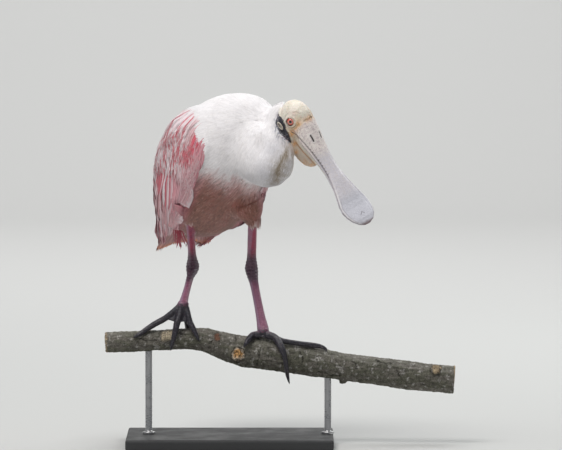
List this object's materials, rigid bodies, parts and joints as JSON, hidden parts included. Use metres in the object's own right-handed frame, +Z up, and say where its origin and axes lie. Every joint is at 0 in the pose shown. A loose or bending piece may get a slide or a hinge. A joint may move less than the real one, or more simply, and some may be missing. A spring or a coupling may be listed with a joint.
{
  "type": "roseate spoonbill display model",
  "caption": "Life-size still model of a roseate spoonbill, hunched with its head turned and lowered, gripping a cut length of branch on a plain stand.",
  "frame": {"origin": "centre of the stand base's underside", "axes": "+Z up, the bird faces -Y and a little to +X, the branch runs along X with its sawn end at +X"},
  "size_m": [0.5093, 0.3754, 0.5154],
  "materials": {
    "white_feather": "matt plumage, white washed with pale pink",
    "pink_feather": "matt plumage, pale pink with deep crimson lesser coverts",
    "tail_feather": "matt plumage, tawny orange",
    "head_skin": "bare skin, cream to yellowish green, satin",
    "bill": "horn, pale grey with darker mottling, satin",
    "iris": "polished eye, red-orange iris and black pupil",
    "ear_skin": "bare skin, cream, satin",
    "leg_skin": "scaled skin, mauve pink with dark joints",
    "foot_skin": "scaled skin and claws, near black",
    "bark": "rough grey-brown bark with lichen",
    "base_paint": "satin dark grey paint",
    "rod_steel": "brushed"
  },
  "bodies": {
    "root": {"torso": "white_feather", "neck": "white_feather", "head": "head_skin", "bill_upper": "bill", "bill_lower": "bill", "eye_right": "iris", "eye_left": "iris", "ear_right": "ear_skin", "ear_left": "ear_skin", "wing_right": "pink_feather", "wing_left": "pink_feather", "tail": "tail_feather", "thigh_right": "white_feather", "thigh_left": "white_feather", "leg_right": "leg_skin", "leg_left": "leg_skin", "foot_right": "foot_skin", "foot_left": "foot_skin", "perch": "bark", "stand_base": "base_paint", "stand_rod_left": "rod_steel", "stand_rod_right": "rod_steel"}
  },
  "joints": []
}
